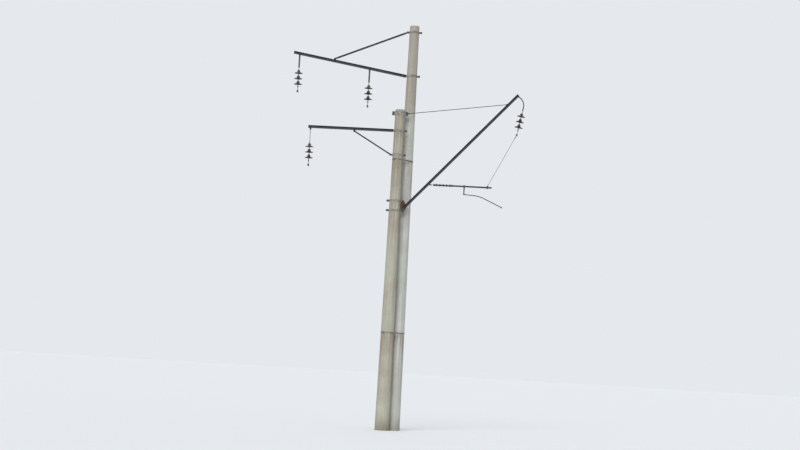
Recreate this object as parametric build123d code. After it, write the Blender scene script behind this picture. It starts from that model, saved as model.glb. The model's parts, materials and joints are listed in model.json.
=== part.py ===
from build123d import *
import os

# Railway catenary mast: a short and a tall concrete pole strapped together, a cantilever with
# its hanging frame on one side, and two field brackets with insulator strings on the other.
# Millimetres. The origin is the centre of the short pole's foot. +X points out along the
# cantilever, +Y back to the side that the tall pole stands on, and +Z up.

# Poles
SHORT_POLE_HEIGHT = 9600
TALL_POLE_HEIGHT = 12250
TALL_POLE_X = 270
POLE_GAP = 30
POLE_TOP_RADIUS = 145
POLE_TAPER = 0.0075
POLE_WALL = 60
POLE_FLOOR = 120
POLE_CAP_HEIGHT = 20
POLE_CAP_BEVEL = 15
POLE_SIDES = 24

# Steel stock shared by the brackets
SEAT = 0.3
BAND_HEIGHT = 60
BAND_WALL = 8
EAR_REACH = 80
EAR_PIN_INSET = 45
PLATE = 12
EAR = 8
CHANNEL_DEPTH = 75
CHANNEL_FLANGE = 40
CHANNEL_WALL = 5
BATTEN_LENGTH = 60
BATTEN_WIDTH = 55
CHEEK_WIDTH = 60
ROOT_GAP = 15
FILLER_WIDTH = 50
FILLER_SPAN = 30
EYE_CLEARANCE = 35
LAP = 1
STRAP_HEIGHT = 40
STRAP_WALL = 5
STRAP_HEIGHTS = (2900, 8100)

# Cantilever
FOOT_BAND_HEIGHTS = (6560, 6850)
FOOT_X = 310
FOOT_Z = 6690
FOOT_NOSE = 38
FOOT_PLATE_GAP = 2
FOOT_CHEEK_LENGTH = 150
FOOT_OVERHANG = 50
TIP_X = 3530
TIP_Z = 10230
TIE_BAND_DROP = 100
TIE_BAND_HEIGHT = 120
TIE_END_X = 3260
TIE_ROD_RADIUS = 9.5
TIE_EYE_LENGTH = 110
TIE_EYE_WIDTH = 45
TIE_ROD_LAP = 25
CANTILEVER_BATTENS = (0.1, 0.32, 0.45, 0.59, 0.72, 0.84)
HOOK_REACH = 130
HOOK_RISE = 60
HOOK_WIDTH = 30
HOOK_END_WIDTH = 46

# Hanging frame
HOOK_EYE_X = 3680
HOOK_EYE_Z = 9775
SADDLE_X = 3540
SADDLE_Z = 9020
REGISTRATION_Z = 7390
REGISTRATION_DROP = 78
REGISTRATION_BRACKET_WIDTH = 34
REGISTRATION_END_X = 2870
REGISTRATION_TUBE_RADIUS = 24
STAY_CLAMP_X = 2740
STAY_CLAMP_LENGTH = 60
STAY_WIRE_RADIUS = 4
STAY_SPREAD = 30
STAY_LUG = 24
STAY_BEHIND_SADDLE = 35
STAY_BELOW_SADDLE = 70
TUBE_CLAMP_WALL = 8
DROPPER_X = 2050
DROPPER_LENGTH = 60
DROPPER_WIDTH = 36
STEADY_HINGE_Z = 7150
STEADY_MIDDLE = (2514, 7119)
CONTACT_WIRE_X = 3190
CONTACT_WIRE_Z = 6800
STEADY_TUBE_RADIUS = 13
STEADY_PIN_RADIUS = 6
STEADY_EYE_LENGTH = 45
STEADY_EYE_WIDTH = 34
ARM_LINK_LENGTH = 70
ARM_END_CAP = 50
ARM_END_CAP_RADIUS = 34
ARM_CORE_RADIUS = 27
ARM_SHED_RADIUS = 58
ARM_SHED_HALF = 16
ARM_SHEDS = 5
ARM_SHED_PITCH = 100

# Field brackets
LOWER_BOOM_DROP = 625
LOWER_BOOM_TIP_X = -2750
LOWER_STRING_X = -2680
LOWER_BOOM_BATTENS = (0.23, 0.73)
STRUT_TOP_X = -1350
STRUT_BAND_DROP = 735
STRUT_RADIUS = 21.4
TOP_BOOM_DROP = 1530
TOP_BOOM_TIP_X = -3380
TOP_BOOM_RISE = 580
TOP_BOOM_BATTENS = (0.175, 0.5, 0.8)
TOP_TIE_BAND_DROP = 180
TOP_TIE_X = -2110
TOP_TIE_RADIUS = 28.5
FEEDER_TIP_X = -3200
FEEDER_MID_X = -1030
HANGER_DROP = 30
HANGER_WIDTH = 44

# Disc insulator units
UNIT_PITCH = 170
UNITS = 3
CAP_TOP_RADIUS = 22
CAP_RADIUS = 47
CAP_SHOULDER = 26
CAP_HEIGHT = 62
DISC_RADIUS = 130
DISC_SLOPE = 38
DISC_RIM = 10
DISC_HOLLOW = 16
INSULATOR_PIN_RADIUS = 11
DISC_SIDES = 28
CAP_SIDES = 16
PIN_SIDES = 12

# Links, and the clamps at the ends of the strings
LINK_PIN_RADIUS = 8
LINK_SLACK = 0.5
LINK_EYE_RADIUS = 20
LINK_ROD_RADIUS = 8
FEEDER_LINK_LENGTH = 440
LINK_BAR_WIDTH = 50
LINK_BAR_SPAN = 350
FORK_GAP = 28
FORK_EAR = 9
FORK_TOP = 28
FORK_BRIDGE = 12
FORK_TAIL = 14
SLACK_EYE_RADIUS = 24
SLACK_EYE_HOLE = 15
SLACK_EYE_OFFSET = 6.4
MAIN_LINK_LENGTH = 92
CLAMP_LENGTH = 180
CLAMP_WIDTH = 44
CLAMP_HEIGHT = 52
CLAMP_END_HEIGHT = 36
CLAMP_NECK = 36
FEEDER_BORE_RADIUS = 10
FEEDER_CLAMP_DROP = 150
MESSENGER_BORE_RADIUS = 7
CONTACT_BORE_RADIUS = 6.2
CONTACT_CLAMP_WIDTH = 30
CONTACT_CLAMP_LENGTH = 40
CONTACT_CLAMP_HEIGHT = 50
CONTACT_CLAMP_JAW = 16

# Centre to centre at the feet, and from that how far behind the tall pole stands
POLE_SPACING = 2 * POLE_TOP_RADIUS + (SHORT_POLE_HEIGHT + TALL_POLE_HEIGHT) * POLE_TAPER + POLE_GAP
TALL_POLE_Y = (POLE_SPACING**2 - TALL_POLE_X**2) ** 0.5
WEB_FACE = PLATE / 2 + EAR
LINK_PLATE = PLATE - 2 * SEAT
TIE_BAND_Z = SHORT_POLE_HEIGHT - TIE_BAND_DROP
LOWER_BOOM_Z = SHORT_POLE_HEIGHT - LOWER_BOOM_DROP
STRUT_BAND_Z = LOWER_BOOM_Z - STRUT_BAND_DROP
TOP_BOOM_ROOT_Z = TALL_POLE_HEIGHT - TOP_BOOM_DROP
TOP_TIE_BAND_Z = TALL_POLE_HEIGHT - TOP_TIE_BAND_DROP


def turned(sides, *points):
    """A solid with many flat sides about the vertical axis, from (radius, height) points."""

    def ring(radius, z):
        start = Vector(radius, 0, z)
        return [start.rotate(Axis.Z, 360 * side / sides) for side in range(sides)]

    def flat(corners):
        return Face(Wire.make_polygon(corners))

    faces = []
    for (radius, z), (next_radius, next_z) in zip(points, (*points[1:], points[0])):
        if radius == next_radius == 0:
            continue
        if z == next_z:
            outer = flat(ring(max(radius, next_radius), z))
            small = min(radius, next_radius)
            holes = [Wire.make_polygon(ring(small, z))] if small else []
            faces.append(outer.make_holes(holes) if holes else outer)
            continue
        low = ring(radius, z)
        high = ring(next_radius, next_z)
        for side in range(sides):
            other = (side + 1) % sides
            faces.append(flat([low[side], low[other], high[other], high[side]]))
    return Solid(Shell(faces))


def round_bar(sides, radius, high, low):
    """An upright bar with many flat sides."""
    return turned(sides, (0, high), (radius, high), (radius, low), (0, low))


def plate(points, thickness, y=0):
    """A flat plate from (x, z) points, centred at y."""
    outline = Polyline(*[(x, 0, z) for x, z in points], close=True)
    return Pos(0, y, 0) * extrude(make_face(outline), amount=thickness / 2, both=True)


def strap(start, end, width, thickness, y=0):
    """A flat bar, flat to Y, that runs half its width past two bolt centres, corners clipped."""
    span = end - start
    middle = Plane(origin=(start + end) * 0.5 + Vector(0, y, 0), x_dir=span, z_dir=(0, -1, 0))
    outline = Rectangle(span.length + width, width)
    outline = chamfer(outline.vertices(), width / 4)
    return extrude(middle * outline, amount=thickness / 2, both=True)


def cheeks(start, end, width):
    """Two flat bars that take a middle plate between them."""
    offset = PLATE / 2 + EAR / 2
    return [strap(start, end, width, EAR, y) for y in (-offset, offset)]


def rod(start, end, radius):
    """A round bar between two points."""
    axis = Plane(origin=start, z_dir=end - start)
    return extrude(axis * Circle(radius), amount=(end - start).length)


def cross_pin(centre, radius, length):
    """A round pin along Y, centred on a point."""
    half = Vector(0, length / 2, 0)
    return rod(centre - half, centre + half, radius)


def twin_channels(start, end):
    """Two channels back to back, their webs apart by a middle plate and its two cheeks."""
    outer = Pos(WEB_FACE + CHANNEL_FLANGE / 2, 0) * Rectangle(CHANNEL_FLANGE, CHANNEL_DEPTH)
    inner = Pos(WEB_FACE + CHANNEL_WALL + CHANNEL_FLANGE / 2, 0) * Rectangle(
        CHANNEL_FLANGE, CHANNEL_DEPTH - 2 * CHANNEL_WALL
    )
    channel = outer - inner
    section = Plane(origin=start, x_dir=(0, 1, 0), z_dir=end - start)
    length = (end - start).length
    return [extrude(section * side, amount=length) for side in (channel, mirror(channel, Plane.YZ))]


def battens(start, end, fractions):
    """Packing blocks between the webs, at fractions of a member's length."""
    step = (end - start).normalized()
    half = step * (BATTEN_LENGTH / 2)
    blocks = []
    for fraction in fractions:
        middle = start + (end - start) * fraction
        frame = Plane(origin=middle - half, x_dir=(0, 1, 0), z_dir=step)
        face = frame * Rectangle(2 * WEB_FACE, BATTEN_WIDTH)
        blocks.append(extrude(face, amount=BATTEN_LENGTH))
    return blocks


def ear_filler(ear, step):
    """The flat plate that fills a band's ears and runs out along a boom."""
    return strap(ear, ear + step * FILLER_SPAN, FILLER_WIDTH, PLATE)


def tie(start, end, radius):
    """A round bar whose ends are flat eyes for a cheek pair."""
    step = (end - start).normalized()
    inset = TIE_EYE_LENGTH - TIE_ROD_LAP
    bar = rod(start + step * inset, end - step * inset, radius)
    bar += strap(start, start + step * TIE_EYE_LENGTH, TIE_EYE_WIDTH, PLATE)
    bar += strap(end - step * TIE_EYE_LENGTH, end, TIE_EYE_WIDTH, PLATE)
    return bar


# Poles, hollow with a closed foot, and the mortar caps that close their tops
class Pole:
    def __init__(self, x, y, height):
        self.x = x
        self.y = y
        self.height = height

    def radius(self, z):
        return POLE_TOP_RADIUS + (self.height - z) * POLE_TAPER

    def place(self, shape):
        return Pos(self.x, self.y, 0) * shape

    def shaft(self):
        return self.place(
            turned(
                POLE_SIDES,
                (0, 0),
                (self.radius(0), 0),
                (POLE_TOP_RADIUS, self.height),
                (POLE_TOP_RADIUS - POLE_WALL, self.height),
                (self.radius(POLE_FLOOR) - POLE_WALL, POLE_FLOOR),
                (0, POLE_FLOOR),
            )
        )

    def cap(self):
        top = self.height + POLE_CAP_HEIGHT
        return self.place(
            turned(
                POLE_SIDES,
                (0, self.height),
                (POLE_TOP_RADIUS, self.height),
                (POLE_TOP_RADIUS - POLE_CAP_BEVEL, top),
                (0, top),
            )
        )

    def ear_x(self, z, side):
        """Where the bolt passes through a band's ears, side being -1 for the field."""
        return self.x + side * (self.radius(z) + BAND_WALL + EAR_PIN_INSET)

    def band(self, z, height=BAND_HEIGHT):
        """A clamp of two half bands whose ears stand out on both sides along X."""
        low = z - height / 2
        inner = self.radius(low) + SEAT
        flat_ring = RegularPolygon(inner + BAND_WALL, POLE_SIDES) - RegularPolygon(inner, POLE_SIDES)
        ring = extrude(Pos(0, 0, low) * flat_ring, amount=height)
        root = inner + BAND_WALL / 2
        ear_length = BAND_WALL / 2 + EAR_REACH
        for side in (-1, 1):
            ear = Box(ear_length, 2 * WEB_FACE, height)
            ring += Pos(side * (root + ear_length / 2), 0, z) * ear
        slot = Box(2 * (root + 2 * ear_length), PLATE, 2 * height)
        return self.place(ring - Pos(0, 0, z) * slot)


short_pole = Pole(0, 0, SHORT_POLE_HEIGHT)
tall_pole = Pole(TALL_POLE_X, TALL_POLE_Y, TALL_POLE_HEIGHT)


def twin_pole_strap(z):
    """A flat steel strap pulled round both poles."""
    low = z - STRAP_HEIGHT / 2

    def outline(grow):
        near = RegularPolygon(short_pole.radius(low) + SEAT + grow, POLE_SIDES)
        far = RegularPolygon(tall_pole.radius(low) + SEAT + grow, POLE_SIDES)
        far = Pos(TALL_POLE_X, TALL_POLE_Y) * far
        return make_hull([*near.edges(), *far.edges()])

    ring = outline(STRAP_WALL) - outline(0)
    return Pos(0, 0, low) * extrude(ring, amount=STRAP_HEIGHT)


# Cantilever: foot, twin channels, tie rod and the hook at its tip
foot = Vector(FOOT_X, 0, FOOT_Z)
tip = Vector(TIP_X, 0, TIP_Z)
cantilever_step = (tip - foot).normalized()
hook_pin = tip - cantilever_step * EAR_PIN_INSET
tie_end = foot + cantilever_step * ((TIE_END_X - FOOT_X) / cantilever_step.X)
tie_start = Vector(short_pole.ear_x(TIE_BAND_Z, 1), 0, TIE_BAND_Z)


def cantilever_foot_bracket():
    low_z, high_z = FOOT_BAND_HEIGHTS
    back = short_pole.radius(low_z - BAND_HEIGHT / 2) + BAND_WALL + FOOT_PLATE_GAP
    ear_end = back + EAR_REACH
    nose = FOOT_X + FOOT_NOSE
    nose_half = CHEEK_WIDTH / 2
    return plate(
        [
            (back, low_z - BAND_HEIGHT / 2),
            (ear_end, low_z - BAND_HEIGHT / 2),
            (nose, FOOT_Z - nose_half),
            (nose, FOOT_Z + nose_half),
            (ear_end, high_z + BAND_HEIGHT / 2),
            (back, high_z + BAND_HEIGHT / 2),
        ],
        PLATE,
    )


def cantilever_plates():
    inset = cantilever_step * EAR_PIN_INSET
    shapes = cheeks(foot, foot + cantilever_step * FOOT_CHEEK_LENGTH, CHEEK_WIDTH)
    shapes += cheeks(tie_end - inset, tie_end + inset, CHEEK_WIDTH)
    shapes += cheeks(hook_pin - 2 * inset, hook_pin, CHEEK_WIDTH)
    shapes += battens(foot, tip, CANTILEVER_BATTENS)
    return shapes


# A fork and pin, and the slack eye that hangs on it, drawn for a load that pulls down
def fork():
    half = FORK_GAP / 2
    wide = half + FORK_EAR
    body = plate(
        [
            (-wide, -FORK_TAIL),
            (-half, -FORK_TAIL),
            (-half, FORK_TOP),
            (half, FORK_TOP),
            (half, -FORK_TAIL),
            (wide, -FORK_TAIL),
            (wide, FORK_TOP + FORK_BRIDGE),
            (-wide, FORK_TOP + FORK_BRIDGE),
        ],
        2 * WEB_FACE,
    )
    return body + rod(Vector(-wide, 0, 0), Vector(wide, 0, 0), LINK_PIN_RADIUS)


def slack_eye(length):
    """An eye plate whose hole lies loosely on the fork's pin, with a rod down to a length."""
    centre = Vector(0, 0, -SLACK_EYE_OFFSET)
    half = Vector(PLATE / 2, 0, 0)
    outline = Rectangle(2 * SLACK_EYE_RADIUS, 2 * SLACK_EYE_RADIUS)
    outline = chamfer(outline.vertices(), SLACK_EYE_RADIUS / 2)
    eye = Plane(origin=centre, z_dir=(1, 0, 0)) * outline
    eye = extrude(eye, amount=PLATE / 2, both=True)
    eye -= rod(centre - 2 * half, centre + 2 * half, SLACK_EYE_HOLE)
    neck = -SLACK_EYE_OFFSET - (SLACK_EYE_RADIUS + SLACK_EYE_HOLE) / 2
    return eye + round_bar(PIN_SIDES, LINK_ROD_RADIUS, neck, -length)


# One insulator unit hangs from height 0: an iron cap, a porcelain disc and an iron pin
def insulator_cap(top):
    return turned(
        CAP_SIDES,
        (0, top),
        (CAP_TOP_RADIUS, top),
        (CAP_RADIUS, top - CAP_SHOULDER),
        (CAP_RADIUS, top - CAP_HEIGHT),
        (0, top - CAP_HEIGHT),
    )


def insulator_disc(top):
    seat = top - CAP_HEIGHT
    rim = seat - DISC_SLOPE
    return turned(
        DISC_SIDES,
        (0, seat),
        (CAP_RADIUS, seat),
        (DISC_RADIUS, rim),
        (DISC_RADIUS, rim - DISC_RIM),
        (CAP_RADIUS, rim - DISC_RIM + DISC_HOLLOW),
        (0, rim - DISC_RIM + DISC_HOLLOW),
    )


def insulator_pin(top):
    under = top - CAP_HEIGHT - DISC_SLOPE - DISC_RIM + DISC_HOLLOW
    return round_bar(PIN_SIDES, INSULATOR_PIN_RADIUS, under, top - UNIT_PITCH)


def string_tops(link_length):
    return [-link_length - unit * UNIT_PITCH for unit in range(UNITS)]


def string_discs(link_length):
    return [insulator_disc(top) for top in string_tops(link_length)]


def string_fittings(link_length):
    """The first cap, then each pin with the cap that it sits in, then the last pin."""
    tops = string_tops(link_length)
    shapes = [insulator_cap(tops[0])]
    for upper, lower in zip(tops, tops[1:]):
        shapes.append(insulator_pin(upper) + insulator_cap(lower))
    shapes.append(insulator_pin(tops[-1]))
    return shapes


def wire_clamp(top, drop, bore_radius):
    """A boat-shaped clamp on a hanger plate, its bore along Y."""
    middle = top - drop
    half = CLAMP_LENGTH / 2
    flat = CLAMP_LENGTH / 4
    outline = Polyline(
        (0, -half, middle - CLAMP_END_HEIGHT / 2),
        (0, -flat, middle - CLAMP_HEIGHT / 2),
        (0, flat, middle - CLAMP_HEIGHT / 2),
        (0, half, middle - CLAMP_END_HEIGHT / 2),
        (0, half, middle + CLAMP_END_HEIGHT / 2),
        (0, flat, middle + CLAMP_HEIGHT / 2),
        (0, -flat, middle + CLAMP_HEIGHT / 2),
        (0, -half, middle + CLAMP_END_HEIGHT / 2),
        close=True,
    )
    body = extrude(make_face(outline), amount=CLAMP_WIDTH / 2, both=True)
    body -= cross_pin(Vector(0, 0, middle), bore_radius, CLAMP_LENGTH + 2)
    body_top = middle + CLAMP_HEIGHT / 2
    neck = Box(PLATE, CLAMP_NECK, top - body_top + LAP)
    return body + Pos(0, 0, (top + body_top - LAP) / 2) * neck


# Feeder strings hang by a link from a hanger under a boom
def hanger(boom_point, hinge):
    body = cross_pin(hinge, LINK_PIN_RADIUS, 2 * WEB_FACE)
    for cheek in cheeks(boom_point, hinge, HANGER_WIDTH):
        body += cheek
    return body


def feeder_link(width, span):
    """A flat bar that hangs on the hanger's pin, and the round rod from it to the first cap."""
    pin_centre = Vector(0, 0, 0)
    bar = strap(pin_centre, Vector(0, 0, -span), width, LINK_PLATE)
    bar -= cross_pin(pin_centre, LINK_PIN_RADIUS + LINK_SLACK, PLATE)
    return bar + round_bar(PIN_SIDES, LINK_ROD_RADIUS, -span - width / 4, -FEEDER_LINK_LENGTH)


def feeder_string(prefix, hinge, link):
    """The nodes of a string that hangs by its link from a hinge on a boom."""
    end = string_tops(FEEDER_LINK_LENGTH)[-1] - UNIT_PITCH
    pieces = {
        prefix + "_link": [link],
        prefix + "_fittings": string_fittings(FEEDER_LINK_LENGTH),
        prefix + "_discs": string_discs(FEEDER_LINK_LENGTH),
        prefix + "_clamp": [wire_clamp(end, FEEDER_CLAMP_DROP, FEEDER_BORE_RADIUS)],
    }
    place = Pos(hinge.X, hinge.Y, hinge.Z)
    return {name: [place * shape for shape in shapes] for name, shapes in pieces.items()}


# Hanging frame: the catenary string, the registration arm and the stays between them
hook_eye = Vector(HOOK_EYE_X, 0, HOOK_EYE_Z)
saddle = Vector(SADDLE_X, 0, SADDLE_Z)
string_span = saddle - hook_eye
string_lean = Vector(0, 0, -1).get_signed_angle(string_span, Vector(0, 1, 0))
main_frame = Pos(hook_eye.X, hook_eye.Y, hook_eye.Z) * Rot(0, string_lean, 0)

below_cantilever = Vector(cantilever_step.Z, 0, -cantilever_step.X)
root_distance = (REGISTRATION_Z - FOOT_Z - REGISTRATION_DROP * below_cantilever.Z) / cantilever_step.Z
root_on_axis = foot + cantilever_step * root_distance
registration_eye = root_on_axis + below_cantilever * REGISTRATION_DROP
arm_frame = Pos(registration_eye.X, registration_eye.Y, registration_eye.Z) * Rot(0, -90, 0)


def main_string_fittings():
    cap, *others = string_fittings(MAIN_LINK_LENGTH)
    return [slack_eye(MAIN_LINK_LENGTH) + cap, *others]


def tip_hook():
    fork_top = hook_eye - string_span.normalized() * (FORK_TOP + FORK_BRIDGE / 2)
    bend = Vector(TIP_X + HOOK_REACH, 0, (hook_pin.Z + fork_top.Z) / 2 + HOOK_RISE)
    path = ThreePointArc(hook_pin, bend, fork_top)
    section = Plane(origin=path @ 0, x_dir=(0, 1, 0), z_dir=path % 0) * Rectangle(PLATE, HOOK_WIDTH)
    bar = sweep(section, path=path)
    bar += strap(hook_pin, hook_pin + cantilever_step, HOOK_END_WIDTH, PLATE)
    return bar + main_frame * fork()


def registration_bracket():
    end = registration_eye - Vector(FORK_TOP + REGISTRATION_BRACKET_WIDTH / 2, 0, 0)
    arm = strap(root_on_axis, end, REGISTRATION_BRACKET_WIDTH, 2 * WEB_FACE)
    return arm + arm_frame * fork()


def arm_insulator_length():
    return 2 * ARM_END_CAP + ARM_SHEDS * ARM_SHED_PITCH


def arm_insulator():
    """A porcelain rod with sheds, between the two iron end caps of the registration arm."""
    start = -ARM_LINK_LENGTH - ARM_END_CAP
    points = [(0, start), (ARM_CORE_RADIUS, start)]
    for shed in range(ARM_SHEDS):
        middle = start - (shed + 0.5) * ARM_SHED_PITCH
        points += [
            (ARM_CORE_RADIUS, middle + ARM_SHED_HALF),
            (ARM_SHED_RADIUS, middle),
            (ARM_CORE_RADIUS, middle - ARM_SHED_HALF),
        ]
    end = start - ARM_SHEDS * ARM_SHED_PITCH
    points += [(ARM_CORE_RADIUS, end), (0, end)]
    return turned(CAP_SIDES, *points)


def arm_end_cap(top):
    return round_bar(CAP_SIDES, ARM_END_CAP_RADIUS, top, top - ARM_END_CAP)


def registration_tube():
    start = registration_eye.X + ARM_LINK_LENGTH + arm_insulator_length()
    return rod(
        Vector(start, 0, REGISTRATION_Z),
        Vector(REGISTRATION_END_X, 0, REGISTRATION_Z),
        REGISTRATION_TUBE_RADIUS,
    )


stay_low = Vector(STAY_CLAMP_X, 0, REGISTRATION_Z + REGISTRATION_TUBE_RADIUS + TUBE_CLAMP_WALL)
stay_high = saddle - Vector(STAY_BEHIND_SADDLE, 0, STAY_BELOW_SADDLE)
stay_step = (stay_high - stay_low).normalized()


def stay_lugs(centre):
    """Two blocks side by side that the stay wires end on."""
    frame = Plane(origin=centre, x_dir=(0, 1, 0), z_dir=stay_step)
    width = 2 * STAY_SPREAD + STAY_LUG
    return extrude(frame * Rectangle(width, STAY_LUG), amount=STAY_LUG / 2, both=True)


def stay_wires():
    low = stay_low + stay_step * (STAY_LUG / 2)
    high = stay_high - stay_step * (STAY_LUG / 2)
    wires = []
    for y in (-STAY_SPREAD, STAY_SPREAD):
        side = Vector(0, y, 0)
        wires.append(rod(low + side, high + side, STAY_WIRE_RADIUS))
    return wires


def tube_clamp(x, length, *fittings):
    """A block with its fittings, bored for the registration tube."""
    width = 2 * (REGISTRATION_TUBE_RADIUS + TUBE_CLAMP_WALL)
    body = Pos(x, 0, REGISTRATION_Z) * Box(length, width, width)
    for fitting in fittings:
        body += fitting
    reach = Vector(length, 0, 0)
    middle = Vector(x, 0, REGISTRATION_Z)
    return body - rod(middle - reach, middle + reach, REGISTRATION_TUBE_RADIUS + SEAT)


def messenger_clamp():
    length = string_span.length
    end = string_tops(MAIN_LINK_LENGTH)[-1] - UNIT_PITCH
    clamp = main_frame * wire_clamp(end, length + end, MESSENGER_BORE_RADIUS)
    neck = strap(saddle, stay_high, STAY_LUG, PLATE)
    bore = cross_pin(saddle, MESSENGER_BORE_RADIUS, 2 * CLAMP_LENGTH)
    return clamp + neck + stay_lugs(stay_high) - bore


steady_hinge = Vector(DROPPER_X, 0, STEADY_HINGE_Z)


def steady_arm_dropper():
    top = Vector(DROPPER_X, 0, REGISTRATION_Z - REGISTRATION_TUBE_RADIUS - 2 * TUBE_CLAMP_WALL)
    body = tube_clamp(DROPPER_X, DROPPER_LENGTH, *cheeks(top, steady_hinge, DROPPER_WIDTH))
    return body + cross_pin(steady_hinge, STEADY_PIN_RADIUS, 2 * WEB_FACE)


contact_wire = Vector(CONTACT_WIRE_X, 0, CONTACT_WIRE_Z)


def contact_clamp_block():
    rise = CONTACT_CLAMP_HEIGHT / 2 - CONTACT_CLAMP_JAW
    return Pos(contact_wire.X, 0, contact_wire.Z + rise) * Box(
        CONTACT_CLAMP_WIDTH, CONTACT_CLAMP_LENGTH, CONTACT_CLAMP_HEIGHT
    )


def contact_wire_clamp():
    return contact_clamp_block() - cross_pin(contact_wire, CONTACT_BORE_RADIUS, 2 * CONTACT_CLAMP_LENGTH)


def steady_arm():
    middle = Vector(STEADY_MIDDLE[0], 0, STEADY_MIDDLE[1])
    start = steady_hinge + (middle - steady_hinge).normalized() * STEADY_EYE_LENGTH
    end = contact_wire + Vector(0, 0, STEADY_TUBE_RADIUS)
    path = Polyline(start, middle, end)
    frame = Plane(origin=path @ 0, z_dir=path % 0)
    arm = sweep(frame * Circle(STEADY_TUBE_RADIUS), path=path, transition=Transition.RIGHT)
    eye = strap(steady_hinge, start, STEADY_EYE_WIDTH, LINK_PLATE)
    hole = cross_pin(steady_hinge, STEADY_PIN_RADIUS + LINK_SLACK, PLATE)
    return arm + eye - hole - contact_clamp_block()


# Field brackets
lower_ear = Vector(short_pole.ear_x(LOWER_BOOM_Z, -1), 0, LOWER_BOOM_Z)
lower_root = lower_ear + Vector(EAR_PIN_INSET - ROOT_GAP, 0, 0)
lower_tip = Vector(LOWER_BOOM_TIP_X, 0, LOWER_BOOM_Z)
lower_hinge = Vector(LOWER_STRING_X, 0, LOWER_BOOM_Z - CHANNEL_DEPTH / 2 - HANGER_DROP)
strut_top = Vector(STRUT_TOP_X, 0, LOWER_BOOM_Z - CHANNEL_DEPTH / 2 - EYE_CLEARANCE)
strut_foot = Vector(short_pole.ear_x(STRUT_BAND_Z, -1), 0, STRUT_BAND_Z)

top_ear = Vector(tall_pole.ear_x(TOP_BOOM_ROOT_Z, -1), TALL_POLE_Y, TOP_BOOM_ROOT_Z)
top_tip = Vector(TOP_BOOM_TIP_X, TALL_POLE_Y, TOP_BOOM_ROOT_Z + TOP_BOOM_RISE)
top_step = (top_tip - top_ear).normalized()
top_root = top_ear - top_step * (EAR_PIN_INSET - ROOT_GAP)
top_tie_high = Vector(tall_pole.ear_x(TOP_TIE_BAND_Z, -1), TALL_POLE_Y, TOP_TIE_BAND_Z)


def top_boom_at(x):
    return top_ear + top_step * ((x - top_ear.X) / top_step.X)


def top_hinge(x):
    drop = CHANNEL_DEPTH / 2 / -top_step.X + HANGER_DROP
    return top_boom_at(x) - Vector(0, 0, drop)


top_tie_low = top_boom_at(TOP_TIE_X) + Vector(0, 0, CHANNEL_DEPTH / 2 + EYE_CLEARANCE)


def lower_boom_plates():
    strut_axis = Vector(STRUT_TOP_X, 0, LOWER_BOOM_Z)
    hinge_axis = Vector(LOWER_STRING_X, 0, LOWER_BOOM_Z)
    shapes = [ear_filler(lower_ear, Vector(-1, 0, 0))]
    shapes += cheeks(strut_axis, strut_top, CHEEK_WIDTH)
    shapes.append(hanger(hinge_axis, lower_hinge))
    shapes += battens(lower_root, lower_tip, LOWER_BOOM_BATTENS)
    return shapes


def top_boom_plates():
    shapes = [ear_filler(top_ear, top_step)]
    shapes += cheeks(top_boom_at(TOP_TIE_X), top_tie_low, CHEEK_WIDTH)
    shapes.append(hanger(top_boom_at(FEEDER_TIP_X), top_hinge(FEEDER_TIP_X)))
    shapes.append(hanger(top_boom_at(FEEDER_MID_X), top_hinge(FEEDER_MID_X)))
    shapes += battens(top_ear, top_tip, TOP_BOOM_BATTENS)
    return shapes


nodes = {
    "short_pole": [short_pole.shaft()],
    "tall_pole": [tall_pole.shaft()],
    "pole_caps": [short_pole.cap(), tall_pole.cap()],
    "short_pole_bands": [
        *[short_pole.band(z) for z in (*FOOT_BAND_HEIGHTS, STRUT_BAND_Z, LOWER_BOOM_Z)],
        short_pole.band(TIE_BAND_Z, TIE_BAND_HEIGHT),
    ],
    "tall_pole_bands": [tall_pole.band(z) for z in (TOP_BOOM_ROOT_Z, TOP_TIE_BAND_Z)],
    "twin_pole_straps": [twin_pole_strap(z) for z in STRAP_HEIGHTS],
    "cantilever_foot_bracket": [cantilever_foot_bracket()],
    "cantilever_channels": twin_channels(foot - cantilever_step * FOOT_OVERHANG, tip),
    "cantilever_plates": cantilever_plates(),
    "tie_rod": [tie(tie_start, tie_end, TIE_ROD_RADIUS)],
    "tip_hook": [tip_hook()],
    "registration_bracket": [registration_bracket()],
    "main_string_fittings": [main_frame * shape for shape in main_string_fittings()],
    "hanging_frame_insulators": [main_frame * disc for disc in string_discs(MAIN_LINK_LENGTH)]
    + [arm_frame * arm_insulator()],
    "messenger_clamp": [messenger_clamp()],
    "registration_end_fittings": [
        arm_frame * (slack_eye(ARM_LINK_LENGTH) + arm_end_cap(-ARM_LINK_LENGTH)),
        arm_frame * arm_end_cap(-ARM_LINK_LENGTH - arm_insulator_length() + ARM_END_CAP),
    ],
    "registration_tube": [registration_tube()],
    "stay_wires": stay_wires(),
    "registration_tube_clamps": [
        steady_arm_dropper(),
        tube_clamp(STAY_CLAMP_X, STAY_CLAMP_LENGTH, stay_lugs(stay_low)),
    ],
    "steady_arm": [steady_arm()],
    "contact_wire_clamp": [contact_wire_clamp()],
    "lower_boom_channels": twin_channels(lower_root, lower_tip),
    "lower_boom_plates": lower_boom_plates(),
    "lower_strut": [tie(strut_foot, strut_top, STRUT_RADIUS)],
    "top_boom_channels": twin_channels(top_root, top_tip),
    "top_boom_plates": top_boom_plates(),
    "top_tie": [tie(top_tie_high, top_tie_low, TOP_TIE_RADIUS)],
}
rod_link = feeder_link(2 * LINK_EYE_RADIUS, LINK_EYE_RADIUS)
bar_link = feeder_link(LINK_BAR_WIDTH, LINK_BAR_SPAN)
nodes |= feeder_string("lower_string", lower_hinge, rod_link)
nodes |= feeder_string("feeder_tip", top_hinge(FEEDER_TIP_X), bar_link)
nodes |= feeder_string("feeder_mid", top_hinge(FEEDER_MID_X), bar_link)

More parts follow.
